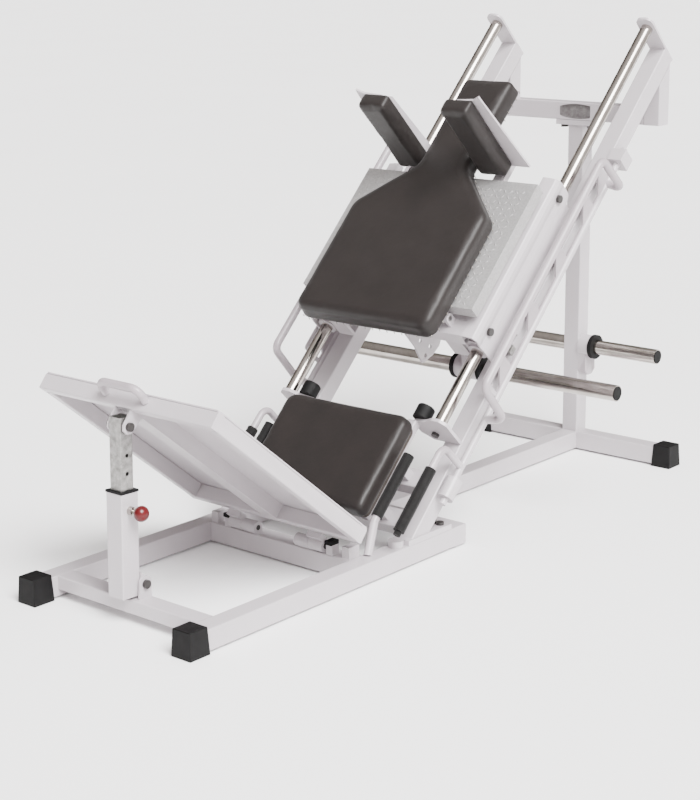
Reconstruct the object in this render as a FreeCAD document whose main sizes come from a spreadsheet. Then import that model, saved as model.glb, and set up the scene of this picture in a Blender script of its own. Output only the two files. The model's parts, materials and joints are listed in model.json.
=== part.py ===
import FreeCAD, Part
import Sketcher
import math
import os

# Plate-loaded leg press. X runs to the right, Y to the rear and Z up. The origin is on the floor, at the
# middle of the machine's footprint. Lengths are millimetres and angles are degrees.

DIMENSIONS = {
    # floor frame, measured from the front faces of the front foot caps
    "overall_length": 2286, "tube": 60, "wall": 3, "tube_round": 4, "tube_floor": 6, "frame_width": 662,
    "side_rail_start": 4, "front_rail_start": 90, "front_rail_height": 40, "middle_rail_start": 687,
    "rear_rail_start": 1096, "rear_beam_start": 2201, "rear_beam_width": 811,
    "cap_bottom": 72, "cap_top": 64, "cap_height": 76, "cap_wall": 4,
    # upright and top bar
    "flange_thickness": 8, "flange_width": 150, "top_bar_bottom": 1150, "top_bar_start": 2195,
    "channel_pitch": 590, "rear_trim": 2262, "badge_length": 170, "badge_height": 50,
    # rails: origin of the inclined frame on the rod axis, slope, and channel heights below the rods
    "rail_origin_y": 1075.8, "rail_origin_z": 385.1, "rail_angle": 45, "rod_length": 1524,
    "rod_diameter": 39, "channel_top": -95, "foot_flange_start": 885, "foot_flange_length": 200,
    "top_plate_thickness": 8, "top_plate_front": 43, "top_plate_rear": 155, "foot_plate_thickness": 10,
    "bumper_pitch": 448, "bumper_diameter": 55, "bumper_length": 42,
    # seat, in the inclined frame
    "seat_width": 486, "seat_length": 342, "seat_start": -362, "seat_bottom": 22, "pad_thickness": 50,
    "board_thickness": 15, "seat_bar": 30, "seat_bar_pitch": 400, "seat_bar_bottom": -23,
    "cross_tube_front": -311, "cross_tube_rear": -175,
    # hand grips beside the seat
    "grip_diameter": 34, "handle_diameter": 25, "handle_x": 272, "handle_level": 30, "grip_length": 205,
    "grip_start": -345, "handle_foot_x": 288, "handle_foot_along": -454.6, "handle_foot_level": 3.3,
    # storage horns
    "storage_height": 372.7, "storage_reach": 328, "horn_diameter": 50, "hub_diameter": 76,
    "storage_hub_reach": 72, "collar_diameter": 84, "collar_width": 14, "horn_neck": 48, "horn_groove": 1,
    # sled
    "sled_start": 247, "sled_end": 839, "sled_width": 670, "side_thickness": 6, "side_top": 94,
    "side_bottom": -37, "bearing_diameter": 62, "bearing_length": 70, "bearing_inset": 15,
    "running_clearance": 0.05, "cross_depth": 48, "cross_width": 53, "lower_tube_start": 380,
    "upper_tube_start": 730, "horn_along": 400, "horn_level": -372, "horn_reach": 553, "horn_hub_half": 45, "bracket_thickness": 16,
    "lug_along": 312, "lug_length": 26, "lug_reach": 346, "sector_x": 50, "sector_hole": 14,
    # press plate
    "hinge_along": 285, "hinge_level": 118, "hinge_pin_diameter": 16, "hinge_barrel_diameter": 30,
    "hinge_reach": 228, "tray_width": 656, "tray_start": 304, "tray_length": 462, "tray_top": 155.6,
    "tray_lip": 41, "sheet": 3, "back_start": 176, "back_shoulder": 597, "back_half_width": 266, "back_thickness": 68,
    "neck_start": 763, "neck_half_width": 98, "back_end": 1116,
    "shoulder_inner": 102, "shoulder_width": 112, "shoulder_along": 775, "shoulder_thickness": 54,
    "shoulder_bottom": 150, "shoulder_top": 462, "bracket_sheet": 6,
    # foot platform: its frame has its origin on the hinge axis
    "platform_hinge_y": 690, "platform_hinge_z": 88, "platform_tilt": -38.94, "platform_length": 730.6,
    "platform_width": 654, "platform_rear": -37, "platform_bottom": 23.5, "platform_tube": 45,
    "platform_tube_width": 28, "platform_sheet": 4, "platform_rib": 60, "barrel_diameter": 37,
    "barrel_inner_x": 78, "barrel_length": 52, "barrel_gap": 1, "platform_pin_diameter": 16,
    "handle_bar": 22, "handle_span": 150, "handle_reach": 45, "handle_rise": 13,
    # prop: its frame has its origin at the bottom of the sleeve, on its centre line
    "prop_y": 89, "prop_z": 75, "prop_lean": -1.66, "sleeve_length": 287, "inner_tube": 44, "bracket_gap": 26,
    "inner_tube_start": 55, "inner_tube_end": 490, "upper_pivot": 466, "index_pitch": 49,
    "index_first": 142, "index_hole": 11, "plunger_level": 240, "plunger_diameter": 10,
    "plunger_tip": 22.4, "plunger_housing_diameter": 24, "plunger_housing_end": 44, "knob_diameter": 43,
    "knob_x": 73, "lower_pivot_y": 129, "lower_pivot_z": 105, "pivot_bolt": 12, "pivot_slack": 12,
    "ear_thickness": 6, "ear_gap": 72,
    # safety racks: plate, pivot rod, handle and release lever
    "rack_rod_x": 350, "rack_rod_level": -112, "rack_rod_diameter": 22, "rack_start": 170,
    "rack_end": 1000, "rack_plate_thickness": 6, "rack_plate_top": -15, "rack_plate_bottom": -106,
    "rack_window_top": -42, "rack_window_bottom": -97, "rack_pitch": 202, "rack_first": 285,
    "rack_window_length": 177, "rack_slant": 55, "rack_bar": 25, "rack_bar_x": 410, "rack_bar_level": 40,
    "rack_bar_start": 120, "rack_bar_end": 965, "lever_x": 350, "lever_level": 8, "lever_along": -72,
    "lever_end": -358, "sleeve_start": -180, "sleeve_span": 65, "top_block_start": 1062,
    "top_block_span": 45, "rack_rod_start": -200, "rack_rod_end": 1122,
    # fasteners
    "bolt_head": 24, "bolt_head_height": 9, "bolt_seat": 0.8,
}

doc = FreeCAD.newDocument("leg_press")
sheet = doc.addObject("Spreadsheet::Sheet", "Sizes")
for row, (alias, value) in enumerate(DIMENSIONS.items(), start=1):
    sheet.set("A%d" % row, alias)
    sheet.set("B%d" % row, str(value))
    sheet.setAlias("B%d" % row, alias)
doc.recompute()


class Size:
    """A number that remembers which spreadsheet expression it comes from."""

    def __init__(self, value, text):
        self.value = value
        self.text = text

    def _with(self, other, sign, result):
        text = other.text if isinstance(other, Size) else repr(other)
        return Size(result, "(%s %s %s)" % (self.text, sign, text))

    def __add__(self, other):
        return self._with(other, "+", self.value + float(other))

    def __sub__(self, other):
        return self._with(other, "-", self.value - float(other))

    def __mul__(self, other):
        return self._with(other, "*", self.value * float(other))

    def __truediv__(self, other):
        return self._with(other, "/", self.value / float(other))

    def __neg__(self):
        return Size(-self.value, "(-1 * %s)" % self.text)

    def __float__(self):
        return float(self.value)

    def __rmul__(self, other):
        return self * other

    def __radd__(self, other):
        return self + other

    def __rsub__(self, other):
        return -self + other


class Dimensions:
    """Each alias of the sheet as a Size."""


dim = Dimensions()
for alias in DIMENSIONS:
    setattr(dim, alias, Size(float(sheet.get(alias)), "Sizes." + alias))

X_AXIS = FreeCAD.Vector(1, 0, 0)
FLOOR = FreeCAD.Placement(FreeCAD.Vector(0, float(-dim.overall_length / 2), 0), FreeCAD.Rotation())


def tilted(y, z, angle):
    """A frame turned about X, with its origin at y and z of the floor frame."""
    turn = FreeCAD.Rotation(X_AXIS, float(angle))
    return FLOOR.multiply(FreeCAD.Placement(FreeCAD.Vector(0, float(y), float(z)), turn))


RAILS = tilted(dim.rail_origin_y, dim.rail_origin_z, dim.rail_angle)
PLATFORM = tilted(dim.platform_hinge_y, dim.platform_hinge_z, dim.platform_tilt)
PROP = tilted(dim.prop_y, dim.prop_z, dim.prop_lean)

nodes = []
serial = [0]


def new(kind, name="part"):
    serial[0] += 1
    return doc.addObject(kind, "%s_%d" % (name, serial[0]))


def bind(item, **sizes):
    """Give an object its sizes, bound to the sheet where they come from it."""
    for name, size in sizes.items():
        setattr(item, name, float(size))
        if isinstance(size, Size):
            item.setExpression(name, size.text)
    return item


def put(item, x, y, z, turn=None):
    item.Placement = FreeCAD.Placement(FreeCAD.Vector(float(x), float(y), float(z)),
                                       turn or FreeCAD.Rotation())
    return item


def box(x, y, z, length, width, height):
    """A block from its lowest corner and its sizes along X, Y and Z."""
    item = bind(new("Part::Box", "block"), Length=length, Width=width, Height=height)
    return put(item, x, y, z)


def plank(middle_x, y, z, length, width, height):
    """A block centred on middle_x."""
    return box(middle_x - float(length) / 2, y, z, length, width, height)


TURNS = {"x": FreeCAD.Rotation(FreeCAD.Vector(0, 1, 0), 90), "y": FreeCAD.Rotation(X_AXIS, -90),
         "z": FreeCAD.Rotation()}


def rod(axis, diameter, length, x, y, z):
    """A cylinder along +X, +Y or +Z from the middle of its first end."""
    item = bind(new("Part::Cylinder", "bar"), Radius=diameter / 2, Height=length)
    return put(item, x, y, z, TURNS[axis])


def cut(base, tool):
    item = new("Part::Cut", "cut")
    item.Base = base
    item.Tool = tool
    return item


def common(base, tool):
    item = new("Part::Common", "common")
    item.Base = base
    item.Tool = tool
    return item


def fuse(*items):
    item = new("Part::MultiFuse", "joined")
    item.Shapes = list(items)
    return item


def group(*items):
    """Separate solids that share one node."""
    item = new("Part::Compound", "group")
    item.Links = list(items)
    return item


def mirrored(item):
    """The same piece on the other side of the middle plane."""
    twin = new("Part::Mirroring", "twin")
    twin.Source = item
    twin.Normal = X_AXIS
    return twin


def both(item):
    return group(item, mirrored(item))


def ring(axis, outer, inner, length, x, y, z):
    """A round tube along X, Y or Z."""
    return cut(rod(axis, outer, length, x, y, z), rod(axis, inner, length, x, y, z))


def tube(axis, x, y, z, length, width, height):
    """A square or rectangular tube, open at both ends, along X, Y or Z."""
    wall = dim.wall
    outer = box(x, y, z, length, width, height)
    inset = {"x": (0, 1, 1), "y": (1, 0, 1), "z": (1, 1, 0)}[axis]
    start = [float(place) + float(wall) * step for place, step in zip((x, y, z), inset)]
    inner_sizes = [size - wall * 2 * step if step else size
                   for size, step in zip((length, width, height), inset)]
    return cut(soften(outer, dim.tube_round, lambda edge: runs_along(edge, axis)), box(*start, *inner_sizes))


def runs_along(edge, axis):
    ends = [vertex.Point for vertex in edge.Vertexes]
    return abs(getattr(ends[1] - ends[0], axis)) > 0.01


def origin_plane(body, role):
    return next(item for item in body.Origin.OriginFeatures if item.Role == role)


def plate(outline, thickness, plane="XY", offset=0, rounds=None, holes=()):
    """A flat plate as a padded sketch. The outline is a list of corners, rounds gives the radius at a
    corner by its number, and holes lists (x, y, diameter). XY plates grow along +Z, YZ plates along +X
    and XZ plates along +Y."""
    body = new("PartDesign::Body", "plate")
    sketch = body.newObject("Sketcher::SketchObject", body.Name + "_outline")
    sketch.AttachmentSupport = [(origin_plane(body, plane + "_Plane"), "")]
    sketch.MapMode = "FlatFace"
    flip = -1 if plane == "XZ" else 1
    points = [FreeCAD.Vector(float(x), float(y), 0) for x, y in outline]
    count = len(points)
    for number in range(count):
        sketch.addGeometry(Part.LineSegment(points[number], points[(number + 1) % count]), False)
    for number in range(count):
        sketch.addConstraint(Sketcher.Constraint("Coincident", number, 2, (number + 1) % count, 1))
    for number, (x, y) in enumerate(outline):
        for kind, size in (("DistanceX", x), ("DistanceY", y)):
            place = sketch.addConstraint(Sketcher.Constraint(kind, -1, 1, number, 1, float(size)))
            if isinstance(size, Size):
                sketch.setExpression("Constraints[%d]" % place, size.text)
    for x, y, diameter in holes:
        centre = FreeCAD.Vector(float(x), float(y), 0)
        circle = sketch.addGeometry(Part.Circle(centre, FreeCAD.Vector(0, 0, 1), float(diameter) / 2), False)
        sketch.addConstraint(Sketcher.Constraint("DistanceX", -1, 1, circle, 3, float(x)))
        sketch.addConstraint(Sketcher.Constraint("DistanceY", -1, 1, circle, 3, float(y)))
        place = sketch.addConstraint(Sketcher.Constraint("Diameter", circle, float(diameter)))
        if isinstance(diameter, Size):
            sketch.setExpression("Constraints[%d]" % place, diameter.text)
    pad = body.newObject("PartDesign::Pad", body.Name + "_pad")
    pad.Profile = sketch
    pad.Reversed = flip < 0
    bind(pad, Length=thickness)
    body.Tip = pad
    if rounds:
        doc.recompute()
        add_rounds(body, pad, outline, plane, rounds)
    turn = FreeCAD.Rotation()
    shift = {"XY": (0, 0, offset), "YZ": (offset, 0, 0), "XZ": (0, offset, 0)}[plane]
    return put(body, *shift, turn)


def add_rounds(body, pad, outline, plane, rounds):
    """Round the corners of a plate, one fillet for each radius."""
    flat = {"XY": (0, 1), "YZ": (1, 2), "XZ": (0, 2)}[plane]
    base = pad
    for radius in sorted(set(rounds.values()), key=float, reverse=True):
        names = []
        for number, edge in enumerate(base.Shape.Edges, start=1):
            ends = [vertex.Point for vertex in edge.Vertexes]
            if len(ends) != 2:
                continue
            for corner, wanted in rounds.items():
                if wanted != radius:
                    continue
                target = [float(size) for size in outline[corner]]
                near = [abs(end[flat[k]] - target[k]) < 0.01 for end in ends for k in (0, 1)]
                if all(near):
                    names.append("Edge%d" % number)
        fillet = body.newObject("PartDesign::Fillet", "%s_round_%d" % (body.Name, len(body.Group)))
        fillet.Base = (base, names)
        bind(fillet, Radius=radius)
        body.Tip = fillet
        doc.recompute()
        base = fillet


def soften(item, radius, choose):
    """Round the edges of an object that the choose function accepts."""
    item.recompute(True)
    numbers = [number for number, edge in enumerate(item.Shape.Edges, start=1) if choose(edge)]
    fillet = new("Part::Fillet", "soft")
    fillet.Base = item
    fillet.Edges = [(number, float(radius), float(radius)) for number in numbers]
    return fillet


def pipe(points, diameter, bend):
    """A bent round bar: straight runs joined by tangent arcs of one radius."""
    corners = [FreeCAD.Vector(*[float(value) for value in point]) for point in points]
    edges = []
    last = corners[0]
    for before, corner, after in zip(corners, corners[1:], corners[2:]):
        arrive = (corner - before).normalize()
        leave = (after - corner).normalize()
        half = arrive.getAngle(leave) / 2
        trim = float(bend) * math.tan(half)
        start = corner - arrive * trim
        end = corner + leave * trim
        inward = (leave - arrive).normalize()
        centre = corner + inward * (float(bend) / math.cos(half))
        middle = centre - inward * float(bend)
        edges.append(Part.LineSegment(last, start).toShape())
        edges.append(Part.Arc(start, middle, end).toShape())
        last = end
    edges.append(Part.LineSegment(last, corners[-1]).toShape())
    direction = corners[1] - corners[0]
    section = Part.Wire([Part.makeCircle(float(diameter) / 2, corners[0], direction)])
    return Part.Wire(edges).makePipeShell([section], True, True)


def feature(shape):
    item = new("Part::Feature", "bent")
    item.Shape = shape
    return item


def node(name, item, frame=None):
    """Name a finished piece and set it in the machine."""
    item.Label = name
    if frame is not None:
        item.Placement = frame.multiply(item.Placement)
    nodes.append(item)
    return item


def bolt(axis, x, y, z, diameter=dim.bolt_head, height=dim.bolt_head_height):
    return rod(axis, diameter, height, x, y, z)


def floor_frame():
    size = dim.tube
    low = dim.tube_floor
    half = dim.frame_width / 2
    inner_width = dim.frame_width - size * 2
    rail_length = dim.rear_rail_start - dim.side_rail_start
    rail = tube("y", half - size, dim.side_rail_start, low, size, rail_length, size)
    node("side_rails", both(rail), FLOOR)
    front = tube("x", -inner_width / 2, dim.front_rail_start, low + size - dim.front_rail_height,
                 inner_width, size, dim.front_rail_height)
    node("front_cross_rail", front, FLOOR)
    middle = tube("x", -inner_width / 2, dim.middle_rail_start, low, inner_width, size, size)
    node("middle_cross_rail", middle, FLOOR)
    rear = closed_tube(dim.frame_width, dim.rear_rail_start, low, size, size)
    node("rear_cross_rail", rear, FLOOR)
    centre_start = dim.rear_rail_start + size
    centre = tube("y", -size / 2, centre_start, low, size, dim.rear_beam_start - centre_start, size)
    node("centre_rail", centre, FLOOR)
    beam = tube("x", -dim.rear_beam_width / 2, dim.rear_beam_start, low, dim.rear_beam_width, size, size)
    node("rear_beam", beam, FLOOR)
    node("foot_caps", group(*front_caps(), *rear_caps()), FLOOR)


def closed_tube(length, y, z, width, height):
    """A tube along X across the middle plane, with a plate let into each end."""
    wall = dim.wall
    half = length / 2
    lid = box(half - wall, y + float(wall), z + float(wall), wall, width - wall * 2, height - wall * 2)
    return fuse(tube("x", -half, y, z, length, width, height), lid, mirrored(lid))


def cap_block(x, y):
    """A tapered rubber block, wider at the floor, centred on x and y."""
    half = dim.cap_bottom / 2
    body = plate([(-half, -half), (half, -half), (half, half), (-half, half)], dim.cap_height)
    pad = body.Tip
    lean = math.degrees(math.atan(float(dim.cap_bottom - dim.cap_top) / 2 / float(dim.cap_height)))
    pad.TaperAngle = -lean
    return soften(put(body, x, y, 0), 2.5, lambda edge: True)


def front_caps():
    half = float(dim.cap_bottom) / 2
    x = float(dim.frame_width - dim.tube) / 2
    hollow = box(x - float(dim.tube) / 2, dim.cap_wall, dim.tube_floor, dim.tube, dim.cap_bottom, dim.tube)
    cap = cut(cap_block(x, half), hollow)
    return cap, mirrored(cap)


def rear_caps():
    half = float(dim.cap_bottom) / 2
    end = float(dim.rear_beam_width) / 2
    y = float(dim.rear_beam_start) + float(dim.tube) / 2
    x = end + float(dim.cap_wall) - half
    hollow = box(end - float(dim.cap_bottom), dim.rear_beam_start, dim.tube_floor,
                 dim.cap_bottom, dim.tube, dim.tube)
    cap = cut(cap_block(x, y), hollow)
    return cap, mirrored(cap)


def rear_tower():
    size = dim.tube
    bottom = dim.tube_floor + size
    plates = dim.flange_thickness * 2
    upright = tube("z", -size / 2, dim.rear_beam_start, bottom, size, size,
                   dim.top_bar_bottom - bottom - plates)
    node("upright", upright, FLOOR)
    level = float(dim.top_bar_bottom)
    thick = float(dim.flange_thickness)
    upper = plank(0, dim.top_bar_start, level - thick, dim.flange_width, size + 6, dim.flange_thickness)
    lower = plank(0, dim.top_bar_start, level - 2 * thick, dim.flange_width, size + 6, dim.flange_thickness)
    pads = []
    for step in (0, 1):
        flat = plank(float(dim.frame_width - size) / 2, dim.foot_flange_start,
                     float(dim.tube_floor + size) + thick * step, size, dim.foot_flange_length,
                     dim.flange_thickness)
        pads += [flat, mirrored(flat)]
    boss = rod("z", 45, 20, 301, 862, dim.tube_floor + dim.tube)
    node("flange_plates", group(upper, lower, *pads, boss, mirrored(boss)), FLOOR)
    wide = new("Part::Ellipsoid", "badge")
    bind(wide, Radius1=2.5, Radius2=dim.badge_length / 2, Radius3=dim.badge_height / 2)
    wide.Placement = FreeCAD.Placement(FreeCAD.Vector(8, float(dim.top_bar_start), level + 30),
                                       FreeCAD.Rotation(FreeCAD.Vector(0, 0, 1),
                                                        FreeCAD.Vector(0, -1, 0)))
    front = box(-60, float(dim.top_bar_start) - 10, level, 120, 10, dim.tube)
    node("badge", common(wide, front), FLOOR)


def clip_to_floor(height):
    """A block in the inclined frame that keeps only what is above a height and ahead of the rear trim."""
    keep = bind(new("Part::Box", "keep"), Length=1000, Width=dim.rear_trim, Height=2000)
    spot = FLOOR.multiply(FreeCAD.Placement(FreeCAD.Vector(-500, 0, float(height)), FreeCAD.Rotation()))
    keep.Placement = RAILS.inverse().multiply(spot)
    return keep


def rails():
    size = dim.tube
    x = float(dim.channel_pitch) / 2
    foot = dim.tube_floor + size + dim.flange_thickness * 2
    reach = 400
    channel = tube("y", x - float(size) / 2, -reach, dim.channel_top - size, size, dim.rod_length + reach, size)
    node("rail_channels", both(common(channel, clip_to_floor(foot))), RAILS)
    end_tube = tube("z", x - float(size) / 2, dim.top_bar_start, dim.top_bar_bottom, size, size, 260)
    under = new("Part::Box", "under")
    bind(under, Length=200, Width=1200, Height=600)
    under.Placement = RAILS.multiply(FreeCAD.Placement(
        FreeCAD.Vector(x - 100, 800, float(dim.channel_top - size) - 600), FreeCAD.Rotation()))
    under.Placement = FLOOR.inverse().multiply(under.Placement)
    side = common(end_tube, under)
    span = dim.channel_pitch - size
    bar = tube("x", -span / 2, dim.top_bar_start, dim.top_bar_bottom, span, size, size)
    node("top_frame", group(bar, side, mirrored(side)), FLOOR)
    node("guide_rods", both(rod("y", dim.rod_diameter, dim.rod_length, x, 0, 0)), RAILS)
    half = float(size) / 2
    top = plate([(x - half, -dim.top_plate_rear), (x + half, -dim.top_plate_rear),
                 (x + half, dim.top_plate_front), (x - half, dim.top_plate_front)],
                dim.top_plate_thickness, "XZ", dim.rod_length, {2: 24, 3: 24})
    low = float(dim.channel_top)
    foot_plate = plate([(195, -62), (228, low), (325, low), (325, 6), (308, 25), (280, 25), (250, 8),
                        (195, -4)], dim.foot_plate_thickness, "XZ", -dim.foot_plate_thickness,
                       {0: 10, 3: 12, 4: 12, 5: 20, 6: 30, 7: 10})
    node("rod_end_plates", group(top, mirrored(top), foot_plate, mirrored(foot_plate)), RAILS)
    bumper = rod("y", dim.bumper_diameter, dim.bumper_length, dim.bumper_pitch / 2, 0, 0)
    soft = soften(bumper, 5, lambda edge: edge.Curve.TypeId == "Part::GeomCircle"
                  and edge.CenterOfMass.y > 5)
    pad = box(188, float(dim.platform_hinge_y) - 8, dim.tube_floor + dim.tube + 30, 24, 34, 12)
    pad.Placement = RAILS.inverse().multiply(FLOOR).multiply(pad.Placement)
    node("rubber_stops", group(soft, mirrored(soft), pad, mirrored(pad)), RAILS)


def seat():
    start = float(dim.seat_start)
    width = float(dim.seat_width)
    length = float(dim.seat_length)
    bottom = dim.seat_bottom
    corners = [(-width / 2, start), (width / 2, start), (width / 2, start + length),
               (-width / 2, start + length)]
    pad = plate(corners, dim.pad_thickness, "XY", bottom, {0: 28, 1: 28, 2: 40, 3: 40})
    node("seat_pad", pad, RAILS)
    inset = 14
    board = plate([(x - math.copysign(inset, x), y + (inset if y == start else -inset))
                   for x, y in corners], dim.board_thickness, "XY",
                  float(bottom - dim.board_thickness), {0: 20, 1: 20, 2: 30, 3: 30})
    node("seat_board", board, RAILS)
    half = float(dim.seat_bar_pitch) / 2
    bar = float(dim.seat_bar)
    low = dim.seat_bar_bottom
    long_bar = tube("y", half - bar / 2, start + 20, low, dim.seat_bar,
                    length - float(dim.foot_plate_thickness), dim.seat_bar)
    pieces = [long_bar, mirrored(long_bar)]
    tube_top = float(dim.channel_top)
    span = dim.channel_pitch - dim.tube
    for along in (dim.cross_tube_front, dim.cross_tube_rear):
        post = box(half - bar / 2, float(along) + 15, tube_top, dim.seat_bar, dim.seat_bar,
                   float(low) - tube_top)
        pieces += [tube("x", -span / 2, along, tube_top - float(dim.tube), span, dim.tube, dim.tube),
                   post, mirrored(post)]
    node("seat_frame", group(*pieces), RAILS)


def side_handles():
    x = dim.handle_x
    level = dim.handle_level
    start = dim.grip_start
    top = float(start + dim.grip_length)
    handle = feature(pipe([(x, top, level), (x, float(start) - 14, level),
                           (dim.handle_foot_x, dim.handle_foot_along, dim.handle_foot_level)],
                          dim.handle_diameter, 45))
    trim = clip_to_floor(dim.tube_floor + dim.tube)
    node("side_handles", both(common(handle, trim)), RAILS)
    grip = ring("y", dim.grip_diameter, dim.handle_diameter, dim.grip_length, x, start, level)
    plug = rod("y", dim.grip_diameter, 4, x, top, level)
    node("side_grips", both(fuse(grip, plug)), RAILS)


def storage():
    """A pair of horns on the upright. The right one has a hub, a gusset and a collar; the left one starts
    at the upright's face."""
    y = float(dim.rear_beam_start) + float(dim.tube) / 2
    level = dim.storage_height
    start = dim.tube / 2
    hub = rod("x", dim.hub_diameter, dim.storage_hub_reach - start, start, y, level)
    wing = plate([(-30, -84), (-12, -100), (12, -100), (30, -84), (30, 0), (-30, 0)], 30, "YZ", 30)
    put(wing, float(start), y, level)
    node("storage_hub", fuse(hub, wing), FLOOR)
    reach = dim.storage_reach
    inner = dim.horn_diameter - dim.wall * 2
    left = ring("x", dim.horn_diameter, inner, reach - start, -reach, y, level)
    node("storage_horns", group(horn(dim.storage_hub_reach, reach, y, level), left), FLOOR)
    collar = ring("x", dim.collar_diameter, dim.horn_neck, dim.collar_width, dim.storage_hub_reach, y, level)
    plug = rod("x", inner, 14, float(reach) - 12, y, level)
    node("storage_collars", group(collar, plug, mirrored(plug)), FLOOR)


def horn(start, reach, y, z):
    """A tubular horn along +X. Its root is turned down where the collar sits, to just past the collar."""
    inner = dim.horn_diameter - dim.wall * 2
    root = dim.collar_width + dim.horn_groove
    neck = ring("x", dim.horn_neck, inner, root, start, y, z)
    bar = ring("x", dim.horn_diameter, inner, reach - start - root, float(start + root), y, z)
    return fuse(neck, bar)


def rack_bearings():
    x = dim.rack_rod_x
    level = dim.rack_rod_level
    bore = dim.rack_rod_diameter + dim.running_clearance * 2
    sleeve = ring("y", 50, bore, dim.sleeve_span, x, dim.sleeve_start, level)
    block = cut(box(float(x) - 25, dim.top_block_start, -142, 50, dim.top_block_span, 55),
                rod("y", bore, 100, x, float(dim.top_block_start) - 20, level))
    node("rack_bearings", group(sleeve, mirrored(sleeve), block, mirrored(block)), RAILS)


def sled():
    start = float(dim.sled_start)
    end = float(dim.sled_end)
    half = float(dim.sled_width) / 2
    thick = float(dim.side_thickness)
    top = float(dim.side_top)
    low = float(dim.side_bottom)
    section = [(half, low), (half, 24), (half - 4, 44), (half, 62), (half, 75), (half - 10, 89),
               (half - 44, top), (half - 54, top), (half - 54, 66), (half - 50, 66), (half - 50, top - thick),
               (half - 44, top - thick),
               (half - 14, 84), (half - thick, 73), (half - thick, 62), (half - thick - 4, 44),
               (half - thick, 24), (half - thick, low)]
    folded = plate(section, end + 10 - start, "XZ", start, {4: 5, 5: 8})
    face = plate([(start, low), (735, low), (841, 12), (847, 41), (end, top), (start, top)], 80, "YZ",
                 half - 70, {2: 8, 3: 8})
    side = common(folded, face)
    node("sled_sides", both(side), RAILS)
    rod_x = float(dim.channel_pitch) / 2
    outer = dim.bearing_diameter
    bore = dim.rod_diameter + dim.running_clearance * 2
    housings = []
    for along in (start + float(dim.bearing_inset), end - float(dim.bearing_inset + dim.bearing_length)):
        block = cut(box(rod_x - 34, along, -34, half - thick - rod_x + 29.5, dim.bearing_length, 76),
                    rod("y", bore, dim.bearing_length, rod_x, along, 0))
        collar = cut(rod("y", outer, 8, rod_x, along - 8, 0), rod("y", bore, 8, rod_x, along - 8, 0))
        housing = fuse(block, collar)
        housings += [housing, mirrored(housing)]
    node("sled_bearings", group(*housings), RAILS)
    span = half * 2 - 108
    lower = tube("x", -span / 2, start, top - 1 - float(dim.cross_depth), span, dim.cross_width,
                 dim.cross_depth)
    upper = tube("x", -span / 2, dim.upper_tube_start, top - 1 - float(dim.cross_depth), span,
                 dim.cross_width, dim.cross_depth)
    wide = dim.sled_width - dim.side_thickness * 2
    under = tube("x", -wide / 2, dim.lower_tube_start, -84, wide, dim.tube, 40)
    striker = box(198, start + 5, -28, 61, 8, 73)
    drop = box(half - thick, dim.lower_tube_start, -84, dim.side_thickness, dim.tube, low + 84)
    beam = box(225, 700 - 20, 60, 56, 40, 71)
    cheek = hinge_lug()
    right = [striker, drop, beam, cheek]
    node("sled_cross_members", group(lower, upper, under, *right, *[mirrored(item) for item in right]),
         RAILS)
    node("plate_rests", both(rod("z", 30, 21.3, 247, 700, 131)), RAILS)
    weight_carrier()
    heads = []
    for along, level in ((798, 46), (304, 43)):
        head = bolt("x", half - float(dim.bolt_seat), along, level)
        heads += [head, mirrored(head)]
    node("sled_bolts", group(*heads), RAILS)
    length = dim.lug_length
    arm = box(half - thick, dim.lug_along, -92, dim.side_thickness, length, low + 92)
    tooth = box(half, dim.lug_along, -92, dim.lug_reach - half, length, 20)
    node("rack_lugs", both(fuse(arm, tooth)), RAILS)


def hinge_lug():
    """The right-hand lug of the press plate's hinge, and the pin through both lugs."""
    along = float(dim.hinge_along)
    level = float(dim.hinge_level)
    reach = float(dim.hinge_reach)
    top = float(dim.side_top) - 1
    barrel = float(dim.hinge_barrel_diameter)
    cheek = fuse(rod("x", dim.hinge_barrel_diameter, 10, reach + 1, along, level),
                 box(reach + 1, along - barrel / 2, top, 10, dim.hinge_barrel_diameter, level - top))
    pin = rod("x", dim.hinge_pin_diameter, 2 * reach + 26, -reach - 13, along, level)
    cheek = cut(cheek, rod("x", dim.hinge_pin_diameter, 12, reach, along, level))
    node("plate_hinge_pin", pin, RAILS)
    return cheek


def weight_carrier():
    along = dim.horn_along
    level = dim.horn_level
    thick = float(dim.bracket_thickness)
    plate_outline = [(384, -84), (386, -150), (388, -210), (392, -262), (402, -306), (380, -340),
                     (440, -352), (462, -300), (474, -220), (478, -84)]
    web = plate(plate_outline, dim.bracket_thickness, "YZ", -thick / 2)
    hub_half = dim.horn_hub_half
    hub = rod("x", dim.hub_diameter, hub_half * 2, -hub_half, along, level)
    node("horn_bracket", fuse(web, hub), RAILS)
    reach = dim.horn_reach
    inner = dim.horn_diameter - dim.wall * 2
    node("weight_horns", both(horn(hub_half, reach, along, level)), RAILS)
    collar = ring("x", dim.collar_diameter, dim.horn_neck, dim.collar_width, hub_half, along, level)
    plug = rod("x", inner, 14, float(reach) - 12, along, level)
    node("horn_collars", group(collar, mirrored(collar), plug, mirrored(plug)), RAILS)
    hole = dim.sector_hole
    sector = plate([(247, 45), (302, 45), (306, 10), (318, -50), (340, -110), (318, -118), (280, -112),
                    (240, -94), (230, -86), (246, -20)], dim.side_thickness, "YZ", float(dim.sector_x) - 3,
                   {4: 8, 7: 6, 8: 6}, [(275, -28, hole), (290, -81, hole), (257, -82, hole)])
    node("index_sector", sector, RAILS)


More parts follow.
